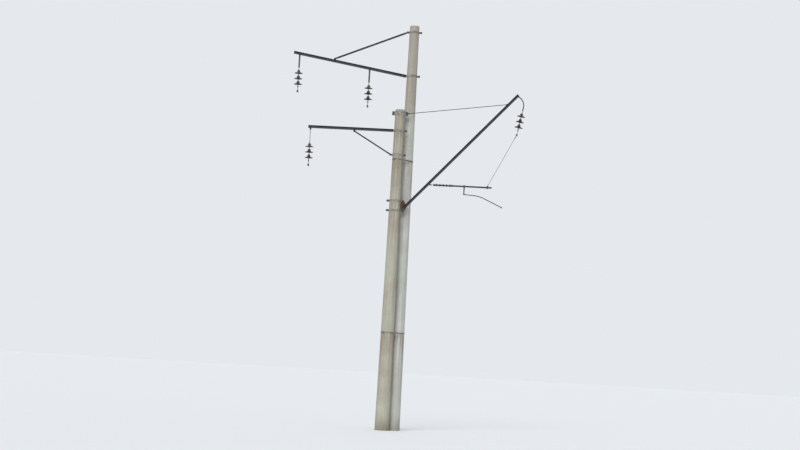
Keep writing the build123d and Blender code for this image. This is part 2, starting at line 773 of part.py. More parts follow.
os.makedirs("parts", exist_ok=True)
for name, shapes in nodes.items():
    solids = [solid for shape in shapes for solid in shape.solids()]
    export_step(Compound(solids), f"parts/{name}.step")
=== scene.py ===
import json
import math
from functools import partial

import bmesh
import bpy
from mathutils import Matrix, Vector, noise


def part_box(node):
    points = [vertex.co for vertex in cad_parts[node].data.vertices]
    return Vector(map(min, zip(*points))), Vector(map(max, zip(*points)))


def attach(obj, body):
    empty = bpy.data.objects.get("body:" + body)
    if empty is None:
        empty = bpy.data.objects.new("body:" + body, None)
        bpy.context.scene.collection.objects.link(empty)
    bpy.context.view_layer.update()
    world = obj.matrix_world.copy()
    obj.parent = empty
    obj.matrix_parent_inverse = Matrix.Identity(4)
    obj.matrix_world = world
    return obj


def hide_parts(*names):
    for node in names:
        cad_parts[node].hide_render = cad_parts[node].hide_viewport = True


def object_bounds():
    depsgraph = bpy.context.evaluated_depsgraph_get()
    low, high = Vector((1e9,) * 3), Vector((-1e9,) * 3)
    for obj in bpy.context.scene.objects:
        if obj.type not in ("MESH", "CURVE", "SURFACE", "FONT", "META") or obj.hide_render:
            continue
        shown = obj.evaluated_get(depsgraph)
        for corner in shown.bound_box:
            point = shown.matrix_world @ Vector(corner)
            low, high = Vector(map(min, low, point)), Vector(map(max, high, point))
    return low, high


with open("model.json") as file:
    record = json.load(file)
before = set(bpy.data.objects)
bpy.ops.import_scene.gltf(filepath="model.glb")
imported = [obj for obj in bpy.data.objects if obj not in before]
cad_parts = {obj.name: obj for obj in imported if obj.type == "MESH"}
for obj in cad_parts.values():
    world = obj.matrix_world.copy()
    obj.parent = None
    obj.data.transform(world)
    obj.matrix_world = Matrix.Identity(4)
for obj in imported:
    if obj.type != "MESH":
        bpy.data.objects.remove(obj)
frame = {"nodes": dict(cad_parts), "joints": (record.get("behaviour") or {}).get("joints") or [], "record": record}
cad_low, cad_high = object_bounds()

# The two poles are hollow tapered shafts of spun concrete, cast in a split steel mould that leaves a
# smooth face with a thin seam down both sides. They stand upright, set in at the foot, and carry the
# rest by clamps. Rain has left grey and rusty runs, and lichen has darkened the tall one's top.
MM = 0.001
WELD = 0.01 * MM
POLE_TAPER = 0.0075
POLE_SIDES = 128
POLE_ROW = 60 * MM
SEAM_BEARINGS = (-62, 118)
SEAM_HEIGHT = 2 * MM
FACE_WAVE = 1.2 * MM
WAVES_ROUND = 1.5
WAVES_UP = 1.2
RUNS_ROUND = 9
RUNS_UP = 0.5
RUST_RUN_LENGTH = 550 * MM
SPLASH_HEIGHT = 500 * MM
LICHEN_BELOW_SHORT_TOP = 300 * MM
LICHEN_FADE = 600 * MM
DEEPEST_STAIN = 0.5
CLOUD_WIDTH = 500 * MM
RAIN_RUNS_PER_METRE = (25, 25, 0.65)
FILM_PATCH = 1400 * MM
SAND_GRAIN = 12 * MM
PIT_SPACING = 70 * MM
SMOOTH_LIMIT = math.radians(32)


def linear(code):
    """An sRGB hex value as a linear colour."""
    levels = [int(code[i:i + 2], 16) / 255 for i in (0, 2, 4)]
    return [v / 12.92 if v <= 0.04045 else ((v + 0.055) / 1.055) ** 2.4 for v in levels] + [1.0]


def set_inputs(node, inputs):
    """Links a node's inputs to sockets, or sets them to values."""
    for key, value in inputs.items():
        if isinstance(value, bpy.types.NodeSocket):
            node.id_data.links.new(value, node.inputs[key])
        else:
            node.inputs[key].default_value = value


def add_node(tree, kind, inputs=None, **settings):
    """Adds a shader node with its settings, and links or sets its inputs."""
    node = tree.nodes.new("ShaderNode" + kind)
    for key, value in settings.items():
        setattr(node, key, value)
    set_inputs(node, inputs or {})
    return node


def new_material(name):
    """A material, its shader, a call that adds nodes to it, and the place that its patterns follow."""
    material = bpy.data.materials.new(name)
    material.use_nodes = True
    add = partial(add_node, material.node_tree)
    return material, material.node_tree.nodes["Principled BSDF"], add, add("TexCoord").outputs["Object"]


def spun_concrete(name, pale, warm, stain):
    """Spun concrete, a fine grey-beige face: dull, clouded over half a metre, streaked by rain, pitted."""
    material, shader, add, place = new_material(name)
    cloud = add("TexNoise", {
        "Vector": place, "Scale": 1 / CLOUD_WIDTH, "Detail": 6.0, "Roughness": 0.62,
    }).outputs["Fac"]
    cloudy = add("MapRange", {"Value": cloud, "From Min": 0.36, "From Max": 0.64}).outputs[0]
    face = add("Mix", {0: cloudy, 6: linear(pale), 7: linear(warm)}, data_type="RGBA").outputs[2]

    # Rain runs are 40 mm wide and a metre and a half long
    squeezed = add("Mapping", {"Vector": place, "Scale": RAIN_RUNS_PER_METRE}).outputs[0]
    runs = add("TexNoise", {"Vector": squeezed, "Scale": 1.0, "Detail": 4.0}).outputs["Fac"]
    streaky = add("MapRange", {
        "Value": runs, "From Min": 0.46, "From Max": 0.74, "To Max": 0.55,
    }).outputs[0]
    face = add("Mix", {0: streaky, 6: face, 7: linear(stain)}, data_type="RGBA").outputs[2]

    # A thin green-grey film grows in patches a metre or two across
    patch = add("TexNoise", {
        "Vector": place, "Scale": 1 / FILM_PATCH, "Detail": 3.0, "W": 3.0,
    }, noise_dimensions="4D").outputs["Fac"]
    film = add("MapRange", {"Value": patch, "From Min": 0.46, "From Max": 0.68, "To Max": 0.5}).outputs[0]
    face = add("Mix", {0: film, 6: face, 7: linear("adb3a2")}, data_type="RGBA").outputs[2]

    # Sand grain of 12 mm, coarser than the real 2 mm so that it shows
    grain = add("TexNoise", {"Vector": place, "Scale": 1 / SAND_GRAIN, "Detail": 5.0}).outputs["Fac"]
    speckle = add("MapRange", {
        "Value": grain, "From Min": 0.3, "From Max": 0.7, "To Min": 0.88, "To Max": 1.1,
    }).outputs[0]
    face = add("Mix", {0: 1.0, 6: face, 7: speckle}, data_type="RGBA", blend_type="MULTIPLY").outputs[2]

    # Air pits of 8 to 14 mm, some 70 mm apart
    pits = add("TexVoronoi", {"Vector": place, "Scale": 1 / PIT_SPACING}).outputs["Distance"]
    pitted = add("MapRange", {
        "Value": pits, "From Min": 0.06, "From Max": 0.11, "To Min": 0.7, "To Max": 0.0,
    }).outputs[0]
    face = add("Mix", {0: pitted, 6: face, 7: linear("6d6557")}, data_type="RGBA").outputs[2]

    for mark, tone in (("rust_run", "755c48"), ("soil", "6f6350"), ("lichen", "96897b")):
        share = add("Attribute", attribute_name=mark).outputs["Fac"]
        face = add("Mix", {0: share, 6: face, 7: linear(tone)}, data_type="RGBA").outputs[2]

    depth = add("Math", {0: grain, 1: pitted}, operation="SUBTRACT").outputs[0]
    bump = add("Bump", {"Strength": 0.5, "Distance": 3 * MM, "Height": depth}).outputs[0]
    set_inputs(shader, {"Base Color": face, "Normal": bump, "Roughness": 0.9, "Specular IOR Level": 0.3})
    return material


def circle(radius, sides, turn=0.0):
    """The points of a circle, turned by a share of a side."""
    angles = [math.tau * (side + turn) / sides for side in range(sides)]
    return [(radius * math.cos(angle), radius * math.sin(angle)) for angle in angles]


def held(value, most=1.0):
    """A value held between nothing and a most."""
    return min(max(value, 0.0), most)


def box_of(points):
    """The lowest and highest corner of some points."""
    low = Vector([min(point[i] for point in points) for i in range(3)])
    high = Vector([max(point[i] for point in points) for i in range(3)])
    return low, high


def solids_of(node):
    """The points of each separate solid of a node, from the lowest up, always in the same order."""
    shape = bmesh.new()
    shape.from_mesh(frame["nodes"][node].data)
    bmesh.ops.remove_doubles(shape, verts=shape.verts, dist=WELD)
    left = dict.fromkeys(shape.verts)
    solids = []
    while left:
        waiting = [left.popitem()[0]]
        solid = []
        while waiting:
            vert = waiting.pop()
            solid.append(vert.co.copy())
            for edge in vert.link_edges:
                other = edge.other_vert(vert)
                if other in left:
                    del left[other]
                    waiting.append(other)
        solids.append(solid)
    shape.free()
    return sorted(solids, key=lambda solid: min(point.z for point in solid))


def add_loops(shape, loops, ring=False):
    """Joins loops of as many points into a skin, closed at its ends or back on itself."""
    rows = [[shape.verts.new(point) for point in loop] for loop in loops]
    pairs = list(zip(rows, rows[1:]))
    if ring:
        pairs.append((rows[-1], rows[0]))
    else:
        shape.faces.new(rows[0][::-1])
        shape.faces.new(rows[-1])
    for low, high in pairs:
        for i in range(len(low)):
            j = (i + 1) % len(low)
            shape.faces.new((low[i], low[j], high[j], high[i]))


def add_object(name, data):
    """Puts a new object in the scene."""
    new = bpy.data.objects.new(name, data)
    bpy.context.scene.collection.objects.link(new)
    return new


def make_piece(name, shape, material, body, slot, *nodes):
    """Turns a shape into a piece that rides on a body and stands for some nodes."""
    bmesh.ops.recalc_face_normals(shape, faces=shape.faces)
    for face in shape.faces:
        face.smooth = True
    for edge in shape.edges:
        edge.smooth = len(edge.link_faces) == 2 and edge.calc_face_angle() < SMOOTH_LIMIT
    mesh = bpy.data.meshes.new(name)
    shape.to_mesh(mesh)
    shape.free()
    mesh.materials.append(material)
    piece = add_object(name, mesh)
    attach(piece, body)
    if nodes:
        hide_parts(*nodes)
    return piece


class Pole:
    """Where a pole stands, how tall it is and how thick."""

    def __init__(self, node):
        low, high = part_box(node)
        self.foot = Vector(((low.x + high.x) / 2, (low.y + high.y) / 2, low.z))
        self.base = (high.x - low.x) / 2
        self.height = high.z - low.z

    def radius(self, z):
        """The outer radius at a height."""
        return self.base - POLE_TAPER * z


def pole_loops(pole):
    """Rings up a pole, with its two mould seams and the slight waves of its face."""
    seams = [round(bearing / 360 * POLE_SIDES) % POLE_SIDES for bearing in SEAM_BEARINGS]
    rows = round(pole.height / POLE_ROW)
    loops = []
    for row in range(rows + 1):
        z = pole.height * row / rows
        loop = []
        for side, (x, y) in enumerate(circle(1, POLE_SIDES)):
            wave = noise.noise(Vector((x * WAVES_ROUND, y * WAVES_ROUND, z * WAVES_UP)) + pole.foot) - 0.5
            radius = pole.radius(z) + wave * FACE_WAVE + (SEAM_HEIGHT if side in seams else 0)
            loop.append(pole.foot + Vector((x * radius, y * radius, z)))
        loops.append(loop)
    return loops


def stain_pole(piece, pole):
    """Marks the rusty runs under each band and strap, the splashed soil at the foot and the lichen."""
    rust = piece.data.attributes.new("rust_run", "FLOAT", "POINT")
    soil = piece.data.attributes.new("soil", "FLOAT", "POINT")
    lichen = piece.data.attributes.new("lichen", "FLOAT", "POINT")
    levels = [span[0] for span in band_spans[pole]] + strap_levels
    lichen_start = short_pole.height - LICHEN_BELOW_SHORT_TOP
    for vert in piece.data.vertices:
        away = vert.co - pole.foot
        angle = math.atan2(away.y, away.x)
        round_x, round_y = RUNS_ROUND * math.cos(angle), RUNS_ROUND * math.sin(angle)
        run = noise.noise(Vector((round_x, round_y, vert.co.z * RUNS_UP)))
        near_ear = abs(math.cos(angle)) ** 6
        amount = 0.0
        for level in levels:
            below = level - vert.co.z
            if 0 <= below < 4 * RUST_RUN_LENGTH:
                amount += math.exp(-below / RUST_RUN_LENGTH) * (0.25 + 0.5 * near_ear + 0.9 * run)
        rust.data[vert.index].value = held(amount, DEEPEST_STAIN)
        splash = 1 - vert.co.z / (SPLASH_HEIGHT * (1 + run / 2))
        soil.data[vert.index].value = held(0.55 * splash, DEEPEST_STAIN)
        grown = held((vert.co.z - lichen_start) / LICHEN_FADE)
        lichen.data[vert.index].value = grown * (0.65 + 0.3 * run)


short_pole = Pole("short_pole")
tall_pole = Pole("tall_pole")
band_spans = {}
for pole, node in ((short_pole, "short_pole_bands"), (tall_pole, "tall_pole_bands")):
    boxes = [box_of(solid) for solid in solids_of(node)]
    band_spans[pole] = sorted({(round(low.z, 4), round(high.z, 4)) for low, high in boxes})
strap_levels = [box_of(solid)[0].z for solid in solids_of("twin_pole_straps")]
pale_concrete = spun_concrete("spun_concrete_pale", "b5b2a2", "a69f8f", "867f70")
grey_concrete = spun_concrete("spun_concrete_grey", "c7c7c0", "b8b4ac", "94908a")
for name, pole, material, slot in (
    ("short_pole_shaft", short_pole, pale_concrete, "pole_concrete"),
    ("tall_pole_shaft", tall_pole, grey_concrete, "tall_pole_concrete"),
):
    shape = bmesh.new()
    add_loops(shape, pole_loops(pole))
    shaft = make_piece(name, shape, material, "mast", slot, name.replace("_shaft", ""))
    stain_pole(shaft, pole)

# Mortar caps close the open tops of the poles. They were trowelled on by hand, so they are lumpy,
# chipped at the rim and darker than the poles.
CAP_LUMP = 5 * MM
CAP_LUMPS_ROUND = 4
CAP_INSET = 2 * MM
# Shares of the pole's radius and of the cap's height, from the rim in
CAP_ROWS = ((1.0, 0.0), (0.995, 0.45), (0.93, 0.8), (0.8, 0.93), (0.5, 0.98), (0.2, 1.0))
mortar = spun_concrete("trowelled_mortar", "a59d8d", "968c7b", "7c7364")
cap_height = cad_high.z - tall_pole.height
shape = bmesh.new()
for pole in (short_pole, tall_pole):
    loops = []
    for share, rise in CAP_ROWS:
        loop = []
        for x, y in circle(1, POLE_SIDES):
            spot = Vector((x * CAP_LUMPS_ROUND, y * CAP_LUMPS_ROUND, 2 * rise)) + pole.foot
            lump = min(noise.noise(spot) * CAP_LUMP, 0)
            radius = (pole.radius(pole.height) - CAP_INSET) * share + lump
            loop.append(pole.foot + Vector((x * radius, y * radius, pole.height + cap_height * rise)))
        loops.append(loop)
    add_loops(shape, loops)
make_piece("mortar_caps", shape, mortar, "mast", "cap_mortar", "pole_caps")

# Flat steel straps are pulled round both poles and closed by a bolt, so that the pair stands as one.
# They are hot-rolled strip, once painted, now brown.
X_AXIS, Y_AXIS, Z_AXIS = Matrix.Identity(3)
POLE_SEAT = 0.5 * MM
FLAT_EDGE = 1.5 * MM
STRAP_WALL = 5 * MM
STRAP_HEIGHT = 40 * MM
STRAP_STEPS = 48
STRAP_BOLT_STAND = 8 * MM
CHALK_WIDTH = 250 * MM
RUST_SPOT = 55 * MM
RUST_GRAIN = 20 * MM
CORNER_STEPS = 3
BOLT_SIDES = 20
# A bolt's parts as (radius, height), in shares of its thickness
WASHER_PROFILE = ((0.95, 0), (0.95, 0.15))
HEX_CORNER = 0.75 / math.cos(math.pi / 6)
HEAD_PROFILE = ((HEX_CORNER, 0.15), (HEX_CORNER, 0.72), (0.88 * HEX_CORNER, 0.8))
NUT_PROFILE = ((HEX_CORNER, 0.15), (HEX_CORNER, 0.87), (0.88 * HEX_CORNER, 0.95))
THREAD_PROFILE = ((0.5, 0.9), (0.5, 1.3), (0.42, 1.38))


def weathered_paint(name, paint, faded, rust, rusty_share):
    """Dark paint on rolled steel: half dull, chalked in clouds, with rust spots of 30 to 80 mm, and greyed
    by a film of lime where it lies against a pole; a band's ears stay dark, as painted shade."""
    material, shader, add, place = new_material(name)
    cloud = add("TexNoise", {"Vector": place, "Scale": 1 / CHALK_WIDTH, "Detail": 4.0}).outputs["Fac"]
    chalk = add("MapRange", {"Value": cloud, "From Min": 0.35, "From Max": 0.7}).outputs[0]
    coat = add("Mix", {0: chalk, 6: linear(paint), 7: linear(faded)}, data_type="RGBA").outputs[2]
    spots = add("TexNoise", {
        "Vector": place, "Scale": 1 / RUST_SPOT, "Detail": 8.0, "Roughness": 0.65, "W": 2.0,
    }, noise_dimensions="4D").outputs["Fac"]
    edge = 0.72 - 0.3 * rusty_share
    broken = add("MapRange", {"Value": spots, "From Min": edge - 0.05, "From Max": edge + 0.04}).outputs[0]
    tone = add("TexNoise", {"Vector": place, "Scale": 1 / RUST_GRAIN, "Detail": 4.0}).outputs["Fac"]
    deep_rust = [v * 0.45 for v in linear(rust)[:3]] + [1.0]
    rusted = add("Mix", {0: tone, 6: linear(rust), 7: deep_rust}, data_type="RGBA").outputs[2]
    colour = add("Mix", {0: broken, 6: coat, 7: rusted}, data_type="RGBA").outputs[2]
    # The mask greys a band with lime where it touches its pole; its ears stay dark, as painted shade
    lime_and_ear_shade = add("Attribute", attribute_name="lime_and_ear_shade").outputs["Fac"]
    patchy = add("MapRange", {
        "Value": spots, "From Min": edge, "From Max": 0.36, "To Min": 0.3, "To Max": 1.0,
    }).outputs[0]
    film = add("Math", {0: lime_and_ear_shade, 1: patchy}, operation="MULTIPLY").outputs[0]
    colour = add("Mix", {0: film, 6: colour, 7: linear("a6a396")}, data_type="RGBA").outputs[2]
    unpainted = add("Math", {0: broken, 1: film}, operation="MAXIMUM").outputs[0]
    dull = add("MapRange", {"Value": unpainted, "To Min": 0.5, "To Max": 0.88}).outputs[0]
    height = add("Math", {0: broken, 1: tone}, operation="MULTIPLY").outputs[0]
    bump = add("Bump", {"Strength": 0.6, "Distance": 1 * MM, "Height": height}).outputs[0]
    set_inputs(shader, {"Base Color": colour, "Roughness": dull, "Normal": bump, "Specular IOR Level": 0.3})
    return material


def spoke(angle):
    """A level line one metre long at an angle."""
    return Vector((math.cos(angle), math.sin(angle), 0))


def sweep(shape, section, path, side, ring=False):
    """Draws a section, given as (along side, along normal), along a path that turns in one plane."""
    steps = [(after - point).normalized() for point, after in zip(path, path[1:] + path[:1])]
    if not ring:
        steps[-1] = steps[-2]
    loops = []
    for i, (point, ahead) in enumerate(zip(path, steps)):
        run = (ahead + (steps[i - 1] if i or ring else ahead)).normalized()
        normal = run.cross(side).normalized()
        stretch = 1 / max(run.dot(ahead), 0.3)
        loops.append([point + side * a + normal * (b * stretch) for a, b in section])
    add_loops(shape, loops, ring)


def rounded(width, height, radius):
    """The outline of a bar with rounded corners."""
    points = []
    for corner, (x, y) in enumerate(((1, 1), (-1, 1), (-1, -1), (1, -1))):
        for step in range(CORNER_STEPS + 1):
            angle = math.pi / 2 * (corner + step / CORNER_STEPS)
            points.append((
                x * (width / 2 - radius) + radius * math.cos(angle),
                y * (height / 2 - radius) + radius * math.sin(angle),
            ))
    return points


def facing(base, axis):
    """A frame at a base with Z along an axis, and X as near to the Y axis as can be."""
    y = axis.cross(X_AXIS if abs(axis.y) > 0.99 else Y_AXIS).normalized()
    return Matrix.Translation(base) @ Matrix((y.cross(axis), y, axis)).transposed().to_4x4()


def scaled(profile, start=0, size=MM):
    """A profile in metres, from one in shares of a size, moved along its axis by a start."""
    return [(radius * size, (height + start) * size) for radius, height in profile]


def lathe(shape, base, axis, profile, sides=BOLT_SIDES, ring=False):
    """Turns a profile of (radius, height) about an axis."""
    place = facing(base, axis)
    loops = []
    for radius, height in profile:
        loops.append([place @ Vector((x, y, height)) for x, y in circle(radius, sides)])
    add_loops(shape, loops, ring)


def bolt(shape, centre, axis, grip, size):
    """A hexagon bolt through a grip, with washers, a nut and a few bare threads."""
    for way, hexagon in ((axis, HEAD_PROFILE), (-axis, NUT_PROFILE)):
        seat = centre + way * grip / 2
        lathe(shape, seat, way, scaled(WASHER_PROFILE, size=size))
        lathe(shape, seat, way, scaled(hexagon, size=size), 6)
    lathe(shape, seat, -axis, scaled(THREAD_PROFILE, size=size), 12)


brown_steel = weathered_paint("strap_steel_brown", "4a4038", "5c5046", "6b4630", 0.6)
bolt_steel = weathered_paint("bolt_steel_dark", "33363a", "45484b", "65432d", 0.45)
apart = tall_pole.foot - short_pole.foot
bearing = math.atan2(apart.y, apart.x)
shape = bmesh.new()
strap_bolts = bmesh.new()
for level in strap_levels:
    middle = Z_AXIS * (level + STRAP_HEIGHT / 2)
    near = short_pole.radius(level) + STRAP_WALL / 2 + POLE_SEAT
    far = tall_pole.radius(level) + STRAP_WALL / 2 + POLE_SEAT
    leave = math.acos((near - far) / apart.length)
    path = []
    for pole, radius, start, turn in (
        (short_pole, near, leave, math.tau - 2 * leave),
        (tall_pole, far, -leave, 2 * leave),
    ):
        for step in range(STRAP_STEPS + 1):
            angle = bearing + start + turn * step / STRAP_STEPS
            path.append(pole.foot + spoke(angle) * radius + middle)
    sweep(shape, rounded(STRAP_HEIGHT, STRAP_WALL, FLAT_EDGE), path, Z_AXIS, ring=True)
    joint = path[STRAP_STEPS // 2]
    outward = (joint - short_pole.foot - middle).normalized()
    bolt(strap_bolts, joint + outward * STRAP_BOLT_STAND, Z_AXIS, STRAP_HEIGHT + 6 * MM, 12 * MM)
straps = make_piece("pole_pair_straps", shape, brown_steel, "mast", "weathered_steel", "twin_pole_straps")
make_piece("strap_bolts", strap_bolts, bolt_steel, "mast", "weathered_steel")

# The lower strap is limed all round, the upper one less and less towards the tall pole
lime_and_ear_shade = straps.data.attributes.new("lime_and_ear_shade", "FLOAT", "POINT")
for vert in straps.data.vertices:
    past = (vert.co - short_pole.foot).dot(apart) / apart.length_squared
    washed = 0.9 - 0.65 * held(past * 2)
    lime_and_ear_shade.data[vert.index].value = 0.9 if vert.co.z < strap_levels[-1] - 1 else washed

# Every bracket is held to its pole by clamps of two half bands, bent from 60 by 8 mm flat steel. A
# bolt through each pair of ears pulls them tight. The black paint has gone dull and lets rust
# through.
BAND_WALL = 8 * MM
EAR_GAP = 12 * MM
EAR_REACH = 80 * MM
EAR_BOLT = 45 * MM
EAR_BEND = 10 * MM
EAR_STEPS = 5
BAND_STEPS = 48
WEB_FACE = 14 * MM
# Past this reach from the pole a band's ears get no lime and stay dark, as painted shade
LIME_TO_EAR_SHADE_REACH = 22 * MM
LIME_TO_EAR_SHADE_FADE = 10 * MM
WIDE_BAND = 100 * MM
# Bolts as (height from the band's middle, thickness), in millimetres
BAND_BOLTS = ((0, 20),)
WIDE_BAND_BOLTS = ((-40, 16), (0, 16), (40, 16))
black_paint = weathered_paint("black_paint_dulled", "1f252b", "30373e", "5c3f2d", 0.35)


def half_band(pole, low, middle, way):
    """The middle line of a half band, from ear to ear."""
    ring = pole.radius(low) + POLE_SEAT + BAND_WALL / 2
    flat = (EAR_GAP + BAND_WALL) / 2
    bend = Vector((math.sqrt((ring + EAR_BEND) ** 2 - (flat + EAR_BEND) ** 2), flat + EAR_BEND, 0))
    leave = math.atan2(bend.y, bend.x)
    side = [Vector((ring + BAND_WALL / 2 + EAR_REACH, flat, 0))]
    for step in range(EAR_STEPS + 1):
        angle = -math.pi / 2 - (math.pi / 2 - leave) * step / EAR_STEPS
        side.append(bend + spoke(angle) * EAR_BEND)
    over = []
    for step in range(1, BAND_STEPS):
        angle = leave + (math.pi - 2 * leave) * step / BAND_STEPS
        over.append(spoke(angle) * ring)
    line = side + over + [Vector((-point.x, point.y, 0)) for point in reversed(side)]
    return [pole.foot + Vector((point.x, point.y * way, middle)) for point in line]


shape = bmesh.new()
band_bolts = bmesh.new()
for pole, spans in band_spans.items():
    for low, high in spans:
        middle = (low + high) / 2
        section = rounded(high - low, BAND_WALL, FLAT_EDGE)
        reach = pole.radius(middle) + BAND_WALL + EAR_BOLT
        for way in (1, -1):
            sweep(shape, section, half_band(pole, low, middle, way), Z_AXIS)
            for rise, size in WIDE_BAND_BOLTS if high - low > WIDE_BAND else BAND_BOLTS:
                spot = pole.foot + Vector((way * reach, 0, middle + rise * MM))
                bolt(band_bolts, spot, Y_AXIS, 2 * WEB_FACE, size * MM)
band_nodes = "short_pole_bands", "tall_pole_bands"
bands = make_piece("pole_bands", shape, black_paint, "mast", "black_steel", *band_nodes)
make_piece("band_bolts", band_bolts, bolt_steel, "mast", "black_steel")

# Lime lies where a band touches its pole, and stops at the ears, whose dark paint is left as painted shade
lime_and_ear_shade = bands.data.attributes.new("lime_and_ear_shade", "FLOAT", "POINT")
for vert in bands.data.vertices:
    gaps = []
    for pole in band_spans:
        away = vert.co - pole.foot
        gaps.append(abs(math.hypot(away.x, away.y) - pole.radius(away.z)))
    lime_and_ear_shade.data[vert.index].value = held((LIME_TO_EAR_SHADE_REACH - min(gaps)) / LIME_TO_EAR_SHADE_FADE)

# The cantilever and the two field brackets are pairs of rolled steel channels, back to back, with
# packing blocks between their webs. Flat cheeks, bolted on, take the ties, the strut and the strings.
CHANNEL_DEPTH = 75 * MM
# Half of a channel's outline as (out from the web, up from the lower flange), in millimetres
CHANNEL_HALF = (
    (0, 0), (40, 0), (40, 1.6), (39.2, 3.4), (37.4, 4.1), (11, 6.2), (7, 8.4), (5, 12.4),
)
WEB_GRIP = 2 * WEB_FACE + 10 * MM
ON_LINE = 5 * MM
BLOCK_THICK = 20 * MM
CHEEK_THICK = 10 * MM
CHEEK_HALF = 30 * MM
BEVEL_LIMIT = math.radians(35)


def middle_of(points):
    """The middle of the box round some points."""
    low, high = box_of(points)
    return (low + high) / 2


def halves_of(points):
    """A long piece's points in two lots, the one at low X first."""
    middle = middle_of(points).x
    return [[point for point in points if (point.x < middle) == near] for near in (True, False)]


class Boom:
    """The middle line of a pair of channels."""

    def __init__(self, node):
        self.node = node
        points = [point for solid in solids_of(node) for point in solid]
        self.ends = [middle_of(half) for half in halves_of(points)]
        self.step = (self.ends[1] - self.ends[0]).normalized()

    def at(self, x):
        """The point of the line at an X."""
        return self.ends[0] + self.step * ((x - self.ends[0].x) / self.step.x)

    def off(self, point):
        """How far above or below the line a point lies."""
        away = point - self.ends[0]
        away.y = 0
        return (away - self.step * away.dot(self.step)).length


def soften(node, material, width=FLAT_EDGE):
    """Keeps a part as it is drawn, with its edges eased."""
    piece = frame["nodes"][node]
    piece.data.materials.clear()
    piece.data.materials.append(material)
    weld = piece.modifiers.new("weld", "WELD")
    weld.merge_threshold = WELD
    bevel = piece.modifiers.new("eased_edges", "BEVEL")
    bevel.width = width
    bevel.segments = 2
    bevel.limit_method = "ANGLE"
    bevel.angle_limit = BEVEL_LIMIT


def channels(shape, boom):
    """Two rolled channels, back to back, with tapered flanges, round at the toes and roots."""
    lower = [(a * MM, b * MM - CHANNEL_DEPTH / 2) for a, b in CHANNEL_HALF]
    outline = lower + [(a, -b) for a, b in reversed(lower)]
    up = boom.step.cross(Y_AXIS).normalized()
    for way in (Y_AXIS, -Y_AXIS):
        add_loops(shape, [[end + way * (WEB_FACE + a) + up * b for a, b in outline] for end in boom.ends])


cantilever = Boom("cantilever_channels")
lower_boom = Boom("lower_boom_channels")
top_boom = Boom("top_boom_channels")
boom_bolts = bmesh.new()
for boom in (cantilever, lower_boom, top_boom):
    shape = bmesh.new()
    channels(shape, boom)
    name = boom.node.replace("channels", "rolled_channels")
    make_piece(name, shape, black_paint, "mast", "black_steel", boom.node)
    plates = boom.node.replace("channels", "plates")
    soften(plates, black_paint)

    # A packing block takes one bolt, and a pair of cheeks on the line takes one at each end
    for solid in solids_of(plates):
        low, high = box_of(solid)
        middle = (low + high) / 2
        if boom.off(middle) > ON_LINE or middle.y < boom.ends[0].y - 1 * MM:
            continue
        if high.y - low.y > BLOCK_THICK:
            bolt(boom_bolts, middle, Y_AXIS, WEB_GRIP, 16 * MM)
        elif high.y - low.y < CHEEK_THICK:
            along = [point.dot(boom.step) for point in solid]
            reach = (max(along) - min(along)) / 2 - CHEEK_HALF
            middle.y = boom.ends[0].y
            for way in (1, -1):
                bolt(boom_bolts, middle + boom.step * reach * way, Y_AXIS, WEB_GRIP, 18 * MM)

# A round bar ties the cantilever up to the short pole. The tie of the top bracket and the strut under
# the lower one are pipes. All end in flat eyes, the pipes' swaged in.
EYE_HALF = 22.5 * MM
EYE_FLAT = 51 * MM
EYE_LENGTH = 110 * MM
EYE_EDGE = 2.5 * MM
ROUND_STEPS = 4 * (CORNER_STEPS + 1)


def eye_bar(shape, start, end, radius):
    """A round bar with flat eyes, from the bolt of one to the bolt of the other."""
    step = (end - start).normalized()
    across = step.cross(Y_AXIS).normalized()
    length = (end - start).length
    half = []
    for turn in range(1, 8):
        angle = math.pi * turn / 14
        half.append((-EYE_HALF * math.cos(angle), EYE_HALF * math.sin(angle), 0.0))
    for share in (0.0, 0.15, 0.5, 0.85, 1.0):
        half.append((EYE_FLAT + (EYE_LENGTH - EYE_FLAT) * share, EYE_HALF, share))
    rows = half + [(length - s, wide, share) for s, wide, share in reversed(half)]
    bar = circle(radius, ROUND_STEPS, 0.5)
    loops = []
    for s, wide, share in rows:
        flat = rounded(EAR_GAP, 2 * wide, min(EYE_EDGE, wide / 2))
        loop = []
        for (flat_a, flat_b), (bar_a, bar_b) in zip(flat, bar):
            a = flat_a + (bar_a - flat_a) * share
            b = flat_b + (bar_b - flat_b) * share
            loop.append(start + step * s + Y_AXIS * a + across * b)
        loops.append(loop)
    add_loops(shape, loops)


def eye_ends(node):
    """The bolt centres at the two eyes of a bar."""
    points = solids_of(node)[0]
    middles = [sum(half, Vector()) / len(half) for half in halves_of(points)]
    step = (middles[1] - middles[0]).normalized()
    along = [(point - middles[0]).dot(step) for point in points]
    return middles[0] + step * (min(along) + EYE_HALF), middles[0] + step * (max(along) - EYE_HALF)


for node, boom in (("tie_rod", cantilever), ("lower_strut", lower_boom), ("top_tie", top_boom)):
    ends = eye_ends(node)
    low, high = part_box(node)
    shape = bmesh.new()
    eye_bar(shape, *ends, (high.y - low.y) / 2)
    make_piece(node + "_bar", shape, black_paint, "mast", "black_steel", node)
    boom_end = min(ends, key=boom.off)
    bolt(boom_bolts, boom_end, Y_AXIS, 2 * WEB_FACE, 18 * MM)
    if boom is not cantilever:
        bolt(boom_bolts, boom.at(boom_end.x), Y_AXIS, WEB_GRIP, 18 * MM)

